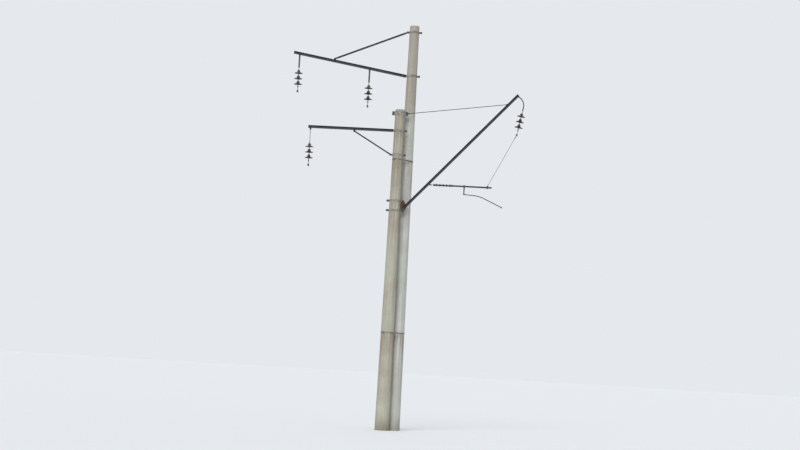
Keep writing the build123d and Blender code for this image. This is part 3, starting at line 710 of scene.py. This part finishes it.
# A welded foot plate takes the cantilever, and a flat bar bent into a hook stands off its tip and
# holds the fork for the string. The foot has lost its paint and gone rusty brown, the hook in part.
FOOT_BOLT_INSET = 38 * MM
BRACKET_BOLT_INSET = 17 * MM
rusty_steel = weathered_paint("bare_rusty_steel", "463a33", "54443a", "5e4332", 1.0)
worn_paint = weathered_paint("black_paint_worn", "2a2a2b", "3b3835", "5a3c2a", 0.65)
soften("cantilever_foot_bracket", rusty_steel)
soften("tip_hook", worn_paint)
soften("registration_bracket", worn_paint)
foot_bolt = cantilever.at(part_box("cantilever_foot_bracket")[1].x - FOOT_BOLT_INSET)
bolt(boom_bolts, foot_bolt, Y_AXIS, WEB_GRIP, 24 * MM)
bracket_bolt = cantilever.at(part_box("registration_bracket")[0].x + BRACKET_BOLT_INSET)
bolt(boom_bolts, bracket_bolt, Y_AXIS, WEB_GRIP, 16 * MM)
hinges = {joint["name"]: Vector(joint["pos_m"]) for joint in frame["joints"]}
for string, boom in (
    ("lower_string", lower_boom), ("feeder_tip_string", top_boom), ("feeder_mid_string", top_boom),
):
    hinge = hinges[string + "_swing"]
    bolt(boom_bolts, hinge, Y_AXIS, 2 * WEB_FACE, 14 * MM)
    bolt(boom_bolts, boom.at(hinge.x), Y_AXIS, WEB_GRIP, 16 * MM)
make_piece("bracket_bolts", boom_bolts, bolt_steel, "mast", "black_steel")

# Each string is three cap-and-pin insulators. A malleable iron cap is cemented over the head of a
# glazed porcelain disc, a steel pin below, and each pin's ball hangs in the next cap's socket.
# These lengths, and all profiles as (radius, height), are in millimetres.
UNITS = 3
UNIT_PITCH = 170
CAP_PROFILE = (
    (12, 0), (20, -1), (23, -4), (24.5, -12), (31, -17), (41, -23.5), (46, -31), (47, -38),
    (47, -51), (45.4, -54), (47, -57), (47, -62), (40, -62.2),
)
DISC_PROFILE = (
    (40, -62), (48, -63), (60, -67.5), (76, -74.5), (94, -83), (110, -90.5), (121, -96.5),
    (127.5, -101), (130, -105), (128.8, -108.6), (125, -110), (121, -108.6), (117, -101.5),
    (111, -99), (107, -102), (105.2, -108), (102, -110), (98.8, -108), (97, -100),
    (91, -95.5), (86, -98.5), (84.2, -106), (81, -108), (77.8, -106), (76, -97),
    (69, -92.5), (64, -95.5), (62.2, -103), (59, -105), (55.8, -103), (54, -94),
    (46, -90), (30, -89), (22, -90),
)
PIN_PROFILE = (
    (21, -89), (20.5, -94), (15, -97), (12, -101), (11, -108), (11, -156), (9, -160), (9, -172),
)
KEY_PROFILE = ((2, -31), (2, 31))
KEY_DROP = 9
DISC_SIDES = 64
GLAZE_RUN = 90 * MM
DUST_SPOT = 30 * MM
ZINC_SPANGLE = 20 * MM
ZINC_WEAR = 45 * MM


def glazed_porcelain(name, colour, thin):
    """Glazed porcelain: a dark, wet-looking glaze that runs thinner and lighter, with dust in patches."""
    material, shader, add, place = new_material(name)
    runs = add("TexNoise", {"Vector": place, "Scale": 1 / GLAZE_RUN, "Detail": 3.0}).outputs["Fac"]
    pooled = add("MapRange", {"Value": runs, "From Min": 0.4, "From Max": 0.66}).outputs[0]
    glaze = add("Mix", {0: pooled, 6: linear(colour), 7: linear(thin)}, data_type="RGBA").outputs[2]
    dust = add("TexNoise", {"Vector": place, "Scale": 1 / DUST_SPOT, "Detail": 6.0}).outputs["Fac"]
    dusty = add("MapRange", {"Value": dust, "From Min": 0.5, "From Max": 0.72, "To Max": 0.25}).outputs[0]
    face = add("Mix", {0: dusty, 6: glaze, 7: linear("6e665b")}, data_type="RGBA").outputs[2]
    shine = add("MapRange", {"Value": dusty, "From Max": 0.25, "To Min": 0.12, "To Max": 0.55}).outputs[0]
    set_inputs(shader, {
        "Base Color": face, "Roughness": shine, "IOR": 1.5, "Coat Weight": 0.3, "Coat Roughness": 0.1,
    })
    return material


def weathered_zinc(name, zinc, dark, rusty_share):
    """Old galvanising: metal gone dull grey with a 20 mm spangle, and rust where it has worn off."""
    material, shader, add, place = new_material(name)
    spangle = add("TexVoronoi", {"Vector": place, "Scale": 1 / ZINC_SPANGLE}).outputs["Color"]
    tone = add("SeparateColor", {"Color": spangle}).outputs[0]
    coat = add("Mix", {0: tone, 6: linear(zinc), 7: linear(dark)}, data_type="RGBA").outputs[2]
    wear = add("TexNoise", {
        "Vector": place, "Scale": 1 / ZINC_WEAR, "Detail": 7.0, "Roughness": 0.65,
    }).outputs["Fac"]
    edge = 0.74 - 0.3 * rusty_share
    worn = add("MapRange", {"Value": wear, "From Min": edge - 0.05, "From Max": edge + 0.05}).outputs[0]
    colour = add("Mix", {0: worn, 6: coat, 7: linear("5e3f2c")}, data_type="RGBA").outputs[2]
    metal = add("MapRange", {"Value": worn, "To Min": 0.75, "To Max": 0.0}).outputs[0]
    rough = add("MapRange", {"Value": worn, "To Min": 0.48, "To Max": 0.9}).outputs[0]
    bump = add("Bump", {"Strength": 0.5, "Distance": 0.8 * MM, "Height": wear}).outputs[0]
    set_inputs(shader, {"Base Color": colour, "Metallic": metal, "Roughness": rough, "Normal": bump})
    return material


def insulator_units(discs, irons, hinge, up, link):
    """The discs, caps and pins of a string below its link, and the key across each socket."""
    across = facing(hinge, up).to_3x3() @ X_AXIS
    for unit in range(UNITS):
        top = -link - unit * UNIT_PITCH
        lathe(discs, hinge, up, scaled(DISC_PROFILE, top), DISC_SIDES)
        lathe(irons, hinge, up, scaled(CAP_PROFILE, top), 40)
        lathe(irons, hinge, up, scaled(PIN_PROFILE, top), 24)
        lathe(irons, hinge + up * (top - KEY_DROP) * MM, across, scaled(KEY_PROFILE), 8)


black_glaze = glazed_porcelain("porcelain_brown_black", "1c1717", "33251f")
green_glaze = glazed_porcelain("porcelain_grey_green", "26352f", "40524a")
cast_zinc = weathered_zinc("galvanised_iron_dull", "54585b", "3e4245", 0.55)

# A boat-shaped clamp of cast iron ends each string. It has a groove along Y, flared at both mouths,
# and four bolts pull its keeper down. A tongue and a round head take the last pin.
# Stations as (along Y, half height, half width, how far the groove flares), in millimetres
CLAMP_STATIONS = (
    (-90, 17, 17, 1.6), (-84, 18.5, 19, 1.2), (-62, 20.5, 20.5, 1.0), (-44, 25, 22, 1.0),
    (-15, 26, 22, 1.0), (15, 26, 22, 1.0), (44, 25, 22, 1.0), (62, 20.5, 20.5, 1.0),
    (84, 18.5, 19, 1.2), (90, 17, 17, 1.6),
)
CLAMP_HEAD_PROFILE = ((10, 2), (17, 0), (21, -5), (22, -16), (19, -26), (12, -34), (8, -36))
# Bolts as (across, along Y)
KEEPER_BOLTS = ((-13, -31), (13, -31), (-13, 31), (13, 31))
MOUTH_INSET = 0.995
TONGUE_FOOT = 24 * MM
TONGUE_TOP = 26 * MM
TONGUE_WIDTH = 36 * MM
TONGUE_WALL = 12 * MM
TONGUE_EDGE = 3 * MM
mounts = {mount["name"]: Vector(mount["pos_m"]) for mount in frame["record"]["mounts"]}


def boat_clamp(shape, middle, hinge, link, bore):
    """The boat with its groove, the tongue and head up to the last pin, and the keeper's bolts."""
    up = (hinge - middle).normalized()
    rise = (hinge - middle).length - (link + UNITS * UNIT_PITCH) * MM
    across = Y_AXIS.cross(up).normalized()
    loops = []
    for y, tall, wide, flare in CLAMP_STATIONS:
        outline = rounded(2 * wide * MM, 2 * tall * MM, 0.6 * wide * MM)
        loops.append([middle + Y_AXIS * y * MM + across * a + up * b for a, b in outline])
    for y, tall, wide, flare in reversed(CLAMP_STATIONS):
        station = middle + Vector((0, y * MM * MOUTH_INSET, 0))
        groove = circle(bore * flare, ROUND_STEPS, 0.5)
        loops.append([station + across * a + up * b for a, b in groove])
    add_loops(shape, loops, ring=True)
    tongue = [middle + up * TONGUE_FOOT, middle + up * (rise - TONGUE_TOP)]
    sweep(shape, rounded(TONGUE_WIDTH, TONGUE_WALL, TONGUE_EDGE), tongue, Y_AXIS)
    lathe(shape, middle + up * rise, up, scaled(CLAMP_HEAD_PROFILE), 24)
    for x, y in KEEPER_BOLTS:
        bolt(shape, middle + Y_AXIS * y * MM + across * x * MM, up, 50 * MM, 9 * MM)


# Three of the strings hang in the field brackets, from one short and two long flat links. A link is a
# steel bar drilled for the hanger's pin, with a round rod forged on below that screws into the cap.
FEEDER_LINK = 440
LINK_THICK = 11.4 * MM
LINK_HOLE = 8.5 * MM
ROD_COLLAR = ((8, 36), (10.5, 32), (10.5, 8), (8, 5), (8, -2))
# Bearings in degrees of the points along a bar's edge, which spread out evenly from its pin
EDGE_BEARINGS = (75, 60, 45, 30, 20)


def link_bar(shape, pin, run, span, width):
    """A flat bar with round ends, drilled at a pin along Y, its edges eased."""
    across = run.cross(Y_AXIS).normalized()
    half = width / 2
    side = []
    for turn in range(8):
        out = spoke(math.pi * (1 - turn / 14))
        side.append((out * half, out))
    for angle in EDGE_BEARINGS:
        down = half / math.tan(math.radians(angle))
        if down < 0.9 * span:
            side.append((Vector((down, half, 0)), Y_AXIS))
    for turn in range(8):
        out = spoke(math.pi / 2 * (1 - turn / 7))
        side.append((out * half + X_AXIS * span, out))
    mirror = Vector((1, -1, 1))
    edge = side + [(spot * mirror, out * mirror) for spot, out in reversed(side[1:-1])]
    ease = FLAT_EDGE
    top = LINK_THICK / 2
    loops = []
    for inner, inset, y in (
        (True, -ease, -top), (False, ease, -top), (False, 0, ease - top), (False, 0, top - ease),
        (False, ease, top), (True, -ease, top), (True, 0, top - ease), (True, 0, ease - top),
    ):
        loop = []
        for spot, out in edge:
            point = spot.normalized() * (LINK_HOLE - inset) if inner else spot - out * inset
            loop.append(pin + run * point.x + across * point.y + Y_AXIS * y)
        loops.append(loop)
    add_loops(shape, loops, ring=True)


for prefix, body, span, glaze, slot in (
    ("lower_string", "lower_string", 20, black_glaze, "dark_porcelain"),
    ("feeder_tip", "feeder_tip_string", 350, green_glaze, "green_porcelain"),
    ("feeder_mid", "feeder_mid_string", 350, black_glaze, "dark_porcelain"),
):
    hinge = hinges[body + "_swing"]
    discs = bmesh.new()
    irons = bmesh.new()
    insulator_units(discs, irons, hinge, Z_AXIS, FEEDER_LINK)
    make_piece(prefix + "_porcelain", discs, glaze, body, slot, prefix + "_discs")
    make_piece(prefix + "_irons", irons, cast_zinc, body, "galvanised_iron", prefix + "_fittings")
    link = bmesh.new()
    bar_low, bar_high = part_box(prefix + "_link")
    width = bar_high.x - bar_low.x
    link_bar(link, hinge, -Z_AXIS, span * MM, width)
    rod_start = (8, -span - width / 4 / MM)
    lathe(link, hinge, Z_AXIS, scaled([rod_start]) + scaled(ROD_COLLAR, -FEEDER_LINK))
    make_piece(prefix + "_eye_rod", link, cast_zinc, body, "galvanised_iron", prefix + "_link")
    clamp = bmesh.new()
    boat_clamp(clamp, mounts[prefix + "_wire_bore"], hinge, FEEDER_LINK, 10 * MM)
    make_piece(prefix + "_boat_clamp", clamp, cast_zinc, body, "galvanised_iron", prefix + "_clamp")

# The catenary string leans in under the tip. Its first eye hangs loosely on the pin of the hook's
# fork, and its clamp also holds the upper ends of the stays, on a yoke.
MAIN_LINK = 92
SLACK_DROP = 6.4 * MM
SLACK_HOLE = 15 * MM
SLACK_OUTER = 24 * MM
SLACK_WALL = 12 * MM
LUG = 24 * MM
LUG_EDGE = 4 * MM
YOKE_HALF = 42 * MM
YOKE_NECK = 24 * MM


def lathe_ring(shape, centre, axis, inner, outer, thick):
    """A round eye: a flat ring with eased corners."""
    ease = 1.2 * MM
    half = thick / 2
    profile = [
        (inner + ease, -half), (outer - ease, -half), (outer, -half + ease), (outer, half - ease),
        (outer - ease, half), (inner + ease, half), (inner, half - ease), (inner, -half + ease),
    ]
    lathe(shape, centre, axis, profile, 32, ring=True)


hook_eye = hinges["hanging_frame_swing"]
saddle = mounts["messenger_wire_bore"]
string_up = (hook_eye - saddle).normalized()
string_across = Y_AXIS.cross(string_up).normalized()
discs = bmesh.new()
irons = bmesh.new()
insulator_units(discs, irons, hook_eye, string_up, MAIN_LINK)
slack_eye = hook_eye - string_up * SLACK_DROP
lathe_ring(irons, slack_eye, string_across, SLACK_HOLE, SLACK_OUTER, SLACK_WALL)
lathe(irons, hook_eye, string_up, scaled([(8, -27)]) + scaled(ROD_COLLAR, -MAIN_LINK))
make_piece("main_string_irons", irons, cast_zinc, "hanging_frame", "galvanised_iron", "main_string_fittings")

stay_wires = []
for solid in sorted(solids_of("stay_wires"), key=lambda solid: solid[0].y):
    stay_wires.append([middle_of(half) for half in halves_of(solid)])
stay_low = (stay_wires[0][0] + stay_wires[1][0]) / 2
stay_high = (stay_wires[0][1] + stay_wires[1][1]) / 2
stay_step = (stay_high - stay_low).normalized()
clamp = bmesh.new()
boat_clamp(clamp, saddle, hook_eye, MAIN_LINK, 7 * MM)
yoke_middle = stay_high + stay_step * LUG / 2
neck = [saddle - string_up * YOKE_NECK, yoke_middle]
sweep(clamp, rounded(LUG, TONGUE_WALL, TONGUE_EDGE), neck, Y_AXIS)
yoke = [yoke_middle + Y_AXIS * y for y in (-YOKE_HALF, YOKE_HALF)]
sweep(clamp, rounded(LUG, LUG, LUG_EDGE), yoke, stay_step)
make_piece("messenger_boat_clamp", clamp, cast_zinc, "hanging_frame", "galvanised_iron", "messenger_clamp")

# The registration arm is a porcelain rod with five sheds, cemented into iron caps, and then a steel
# pipe with two clamps on it. Its slack eye hangs in the fork of the registration bracket.
ARM_LINK = 70
ARM_CAP = 50
SHEDS = 5
SHED_PITCH = 100
CORE_RADIUS = 27
CORE_LAP = 8
SHED_PROFILE = (
    (27, 30), (29, 17), (40, 10), (52, 4), (57, 0.5), (58, -3), (55, -6.5), (44, -6), (33, -9),
    (28.5, -14), (27, -24),
)
ARM_NECK_PROFILE = ((8, -27), (8, -60), (12, -66), (12, -72))
ARM_CAP_PROFILE = ((14, 0), (29, -1.5), (33, -6), (34, -12), (34, -40), (33, -44), (34, -47), (31, -50))
# Bolts as (along X, along Y)
PIPE_CLAMP_BOLTS = ((16, -28), (-16, -28), (16, 28), (-16, 28))
pipe_low, pipe_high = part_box("registration_tube")
pipe_start = Vector((pipe_low.x, 0, (pipe_low.z + pipe_high.z) / 2))
arm_length = 2 * ARM_CAP + SHEDS * SHED_PITCH
arm_eye = pipe_start - X_AXIS * (ARM_LINK + arm_length) * MM
arm_up = -X_AXIS
profile = [(CORE_RADIUS, -ARM_LINK - ARM_CAP + CORE_LAP)]
for shed in range(SHEDS):
    middle = -ARM_LINK - ARM_CAP - (shed + 0.5) * SHED_PITCH
    profile += [(radius, height + middle) for radius, height in SHED_PROFILE]
profile.append((CORE_RADIUS, -ARM_LINK - arm_length + ARM_CAP - CORE_LAP))
lathe(discs, arm_eye, arm_up, scaled(profile), 48)
make_piece(
    "frame_porcelain", discs, black_glaze, "hanging_frame", "dark_porcelain", "hanging_frame_insulators",
)

caps = bmesh.new()
lathe_ring(caps, arm_eye - arm_up * SLACK_DROP, Z_AXIS, SLACK_HOLE, SLACK_OUTER, SLACK_WALL)
lathe(caps, arm_eye, arm_up, scaled(ARM_NECK_PROFILE))
lathe(caps, arm_eye, arm_up, scaled(ARM_CAP_PROFILE, -ARM_LINK), 40)
lathe(caps, pipe_start, -arm_up, scaled(ARM_CAP_PROFILE), 40)
make_piece("arm_end_caps", caps, cast_zinc, "hanging_frame", "galvanised_iron", "registration_end_fittings")

# The pipe is open at its far end, with a plug 12 mm in
pipe_zinc = weathered_zinc("galvanised_pipe_dark", "464b50", "35393e", 0.35)
pipe_end = (pipe_high.x - pipe_low.x) / MM
pipe_profile = (
    (24, 0), (24, pipe_end - 3), (23, pipe_end - 1), (20, pipe_end),
    (20, pipe_end - 12), (0.5, pipe_end - 12),
)
pipe = bmesh.new()
lathe(pipe, pipe_start, X_AXIS, scaled(pipe_profile), 48)
make_piece("registration_pipe", pipe, pipe_zinc, "hanging_frame", "galvanised_tube", "registration_tube")
soften("registration_tube_clamps", cast_zinc)
arm_hinge = hinges["steady_arm_lift"]
clamp_bolts = bmesh.new()
for x in (stay_low.x, arm_hinge.x):
    for along, y in PIPE_CLAMP_BOLTS:
        bolt(clamp_bolts, Vector((x + along * MM, y * MM, pipe_start.z)), Z_AXIS, 64 * MM, 8 * MM)
bolt(clamp_bolts, arm_hinge, Y_AXIS, 2 * WEB_FACE, 12 * MM)
make_piece("pipe_clamp_bolts", clamp_bolts, bolt_steel, "hanging_frame", "galvanised_iron")

# Two stranded steel stays carry the outer end of the registration arm from the string's clamp. Each
# end is pressed into a sleeve.
STAY_RADIUS = 4 * MM
STAY_ROW = 8 * MM
STRANDS = 7
LAY = 70 * MM
LOBES = 28
SLEEVE_PROFILE = ((4, 0), (8, 1), (8, 48), (6.5, 52), (4, 54))
strand_steel = weathered_zinc("stranded_steel_grey", "55585a", "3c3f41", 0.5)
shape = bmesh.new()
for low, high in stay_wires:
    step = (high - low).normalized()
    place = facing(low, step)
    length = (high - low).length
    rows = round(length / STAY_ROW)
    loops = []
    for row in range(rows + 1):
        s = length * row / rows
        loop = []
        for i in range(LOBES):
            angle = math.tau * i / LOBES
            radius = STAY_RADIUS * (0.9 + 0.1 * math.cos(STRANDS * angle))
            turned = angle + math.tau * s / LAY
            loop.append(place @ Vector((radius * math.cos(turned), radius * math.sin(turned), s)))
        loops.append(loop)
    add_loops(shape, loops)
    lathe(shape, low, step, scaled(SLEEVE_PROFILE))
    lathe(shape, high, -step, scaled(SLEEVE_PROFILE))
make_piece("stranded_stays", shape, strand_steel, "hanging_frame", "stranded_steel", "stay_wires")

# The steady arm is a light bent pipe on a hinge under the registration arm. Its far end carries the
# contact clamp and is free to lift.
ARM_RADIUS = 13 * MM
ARM_BEND = Vector((2514, 0, 7119)) * MM
ARM_BEND_REACH = 170 * MM
ARM_BEND_STEPS = 12
ARM_PIPE_START = 40 * MM
ARM_PIPE_END = 2 * MM
ARM_EYE_HOLE = 6.5 * MM
ARM_EYE_OUTER = 17 * MM
ARM_TONGUE = 28 * MM
ARM_TONGUE_START = 12 * MM
ARM_TONGUE_LAP = 8 * MM
arm_end = mounts["contact_wire_bore"] + Z_AXIS * ARM_RADIUS
first = (ARM_BEND - arm_hinge).normalized()
second = (arm_end - ARM_BEND).normalized()
path = [arm_hinge + first * ARM_PIPE_START]
for step in range(ARM_BEND_STEPS + 1):
    share = step / ARM_BEND_STEPS
    before = ARM_BEND - first * ARM_BEND_REACH * (1 - share)
    after = ARM_BEND + second * ARM_BEND_REACH * share
    path.append(before.lerp(after, share))
path.append(arm_end - second * ARM_PIPE_END)
shape = bmesh.new()
sweep(shape, circle(ARM_RADIUS, 24), path, Y_AXIS)
lathe_ring(shape, arm_hinge, Y_AXIS, ARM_EYE_HOLE, ARM_EYE_OUTER, LINK_THICK)
tongue = [arm_hinge + first * ARM_TONGUE_START, path[0] + first * ARM_TONGUE_LAP]
sweep(shape, rounded(LINK_THICK, ARM_TONGUE, TONGUE_EDGE), tongue, Y_AXIS)
make_piece("steady_arm_pipe", shape, pipe_zinc, "steady_arm", "galvanised_tube", "steady_arm")

# A small clamp of cast bronze ends the steady arm, its two jaws pulled together by bolts. Bronze
# outdoors turns a dull brown, so it looks like dark wood with a faint metal gleam.
BRONZE_EDGE = 3 * MM
TARNISH_PATCH = 25 * MM
CASTING_LUMP = 4 * MM
bronze, shader, add, place = new_material("cast_bronze_tarnished")
tarnish = add("TexNoise", {"Vector": place, "Scale": 1 / TARNISH_PATCH, "Detail": 6.0}).outputs["Fac"]
brown = add("MapRange", {"Value": tarnish, "From Min": 0.38, "From Max": 0.6}).outputs[0]
face = add("Mix", {0: brown, 6: linear("8a6b3f"), 7: linear("4c4031")}, data_type="RGBA").outputs[2]
dull = add("MapRange", {"Value": brown, "To Min": 0.38, "To Max": 0.75}).outputs[0]
lumps = add("TexNoise", {"Vector": place, "Scale": 1 / CASTING_LUMP}).outputs["Fac"]
skin = add("Bump", {"Strength": 0.4, "Distance": 0.4 * MM, "Height": lumps}).outputs[0]
set_inputs(shader, {"Base Color": face, "Roughness": dull, "Normal": skin, "Metallic": 0.8})
soften("contact_wire_clamp", bronze, BRONZE_EDGE)
clamp_low, clamp_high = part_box("contact_wire_clamp")
shape = bmesh.new()
for y in (-11, 11):
    spot = (clamp_low + clamp_high) / 2 + Vector((0, y, 2)) * MM
    bolt(shape, spot, X_AXIS, clamp_high.x - clamp_low.x, 8 * MM)
make_piece("contact_clamp_bolts", shape, bolt_steel, "steady_arm", "bronze_clamp")

# The studio is a pale floor and backdrop. Broad soft light comes from behind the camera's left
# shoulder, with a weaker fill from behind the mast. The camera stands low, 50 m off to the right
# front, a little tilted as in the photograph.
FLOOR_REACH = 400
CAMERA_STAND = Vector((3.24, -49.01, 1.92))
CAMERA_AIM = Vector((0.18, 0.2, 6.15))
CAMERA_TILT = math.radians(3.3)
pale_floor, shader = new_material("pale_floor")[:2]
set_inputs(shader, {"Base Color": linear("efefed"), "Roughness": 0.95})
corners = [(x * FLOOR_REACH, y * FLOOR_REACH, 0) for x, y in ((-1, -1), (1, -1), (1, 1), (-1, 1))]
floor_mesh = bpy.data.meshes.new("studio_floor")
floor_mesh.from_pydata(corners, [], [(0, 1, 2, 3)])
floor_mesh.materials.append(pale_floor)
add_object("studio_floor", floor_mesh)

# Seen straight or in a gloss, the backdrop is brighter than the light that it gives
world = bpy.data.worlds.new("pale_backdrop")
world.use_nodes = True
bpy.context.scene.world = world
add = partial(add_node, world.node_tree)
seen = add("LightPath").outputs
direct = add("Math", {0: seen["Is Camera Ray"], 1: seen["Is Glossy Ray"]}, operation="MAXIMUM").outputs[0]
level = add("MapRange", {"Value": direct, "To Min": 0.62, "To Max": 0.86}).outputs[0]
tint = add("Mix", {0: direct, 6: linear("e6eef9"), 7: linear("f5f9fd")}, data_type="RGBA").outputs[2]
set_inputs(world.node_tree.nodes["Background"], {"Color": tint, "Strength": level})

for name, run, power, spread in (
    ("soft_key", (0.22, 0.92, -0.62), 1.8, 0.5),
    ("soft_fill", (-0.2, -0.9, -0.4), 0.6, 1.2),
):
    lamp = bpy.data.lights.new(name, "SUN")
    lamp.energy = power
    lamp.angle = spread
    add_object(name, lamp).rotation_euler = Vector(run).to_track_quat("-Z", "Y").to_euler()

camera = bpy.data.cameras.new("low_camera")
camera.lens = 74
camera.sensor_width = 36
camera.clip_end = 2000
camera_object = add_object("low_camera", camera)
turn = (CAMERA_AIM - CAMERA_STAND).to_track_quat("-Z", "Y").to_matrix().to_4x4()
turn = turn @ Matrix.Rotation(CAMERA_TILT, 4, "Z")
camera_object.matrix_world = Matrix.Translation(CAMERA_STAND) @ turn
bpy.context.scene.camera = camera_object
bpy.context.scene.view_settings.view_transform = "Standard"
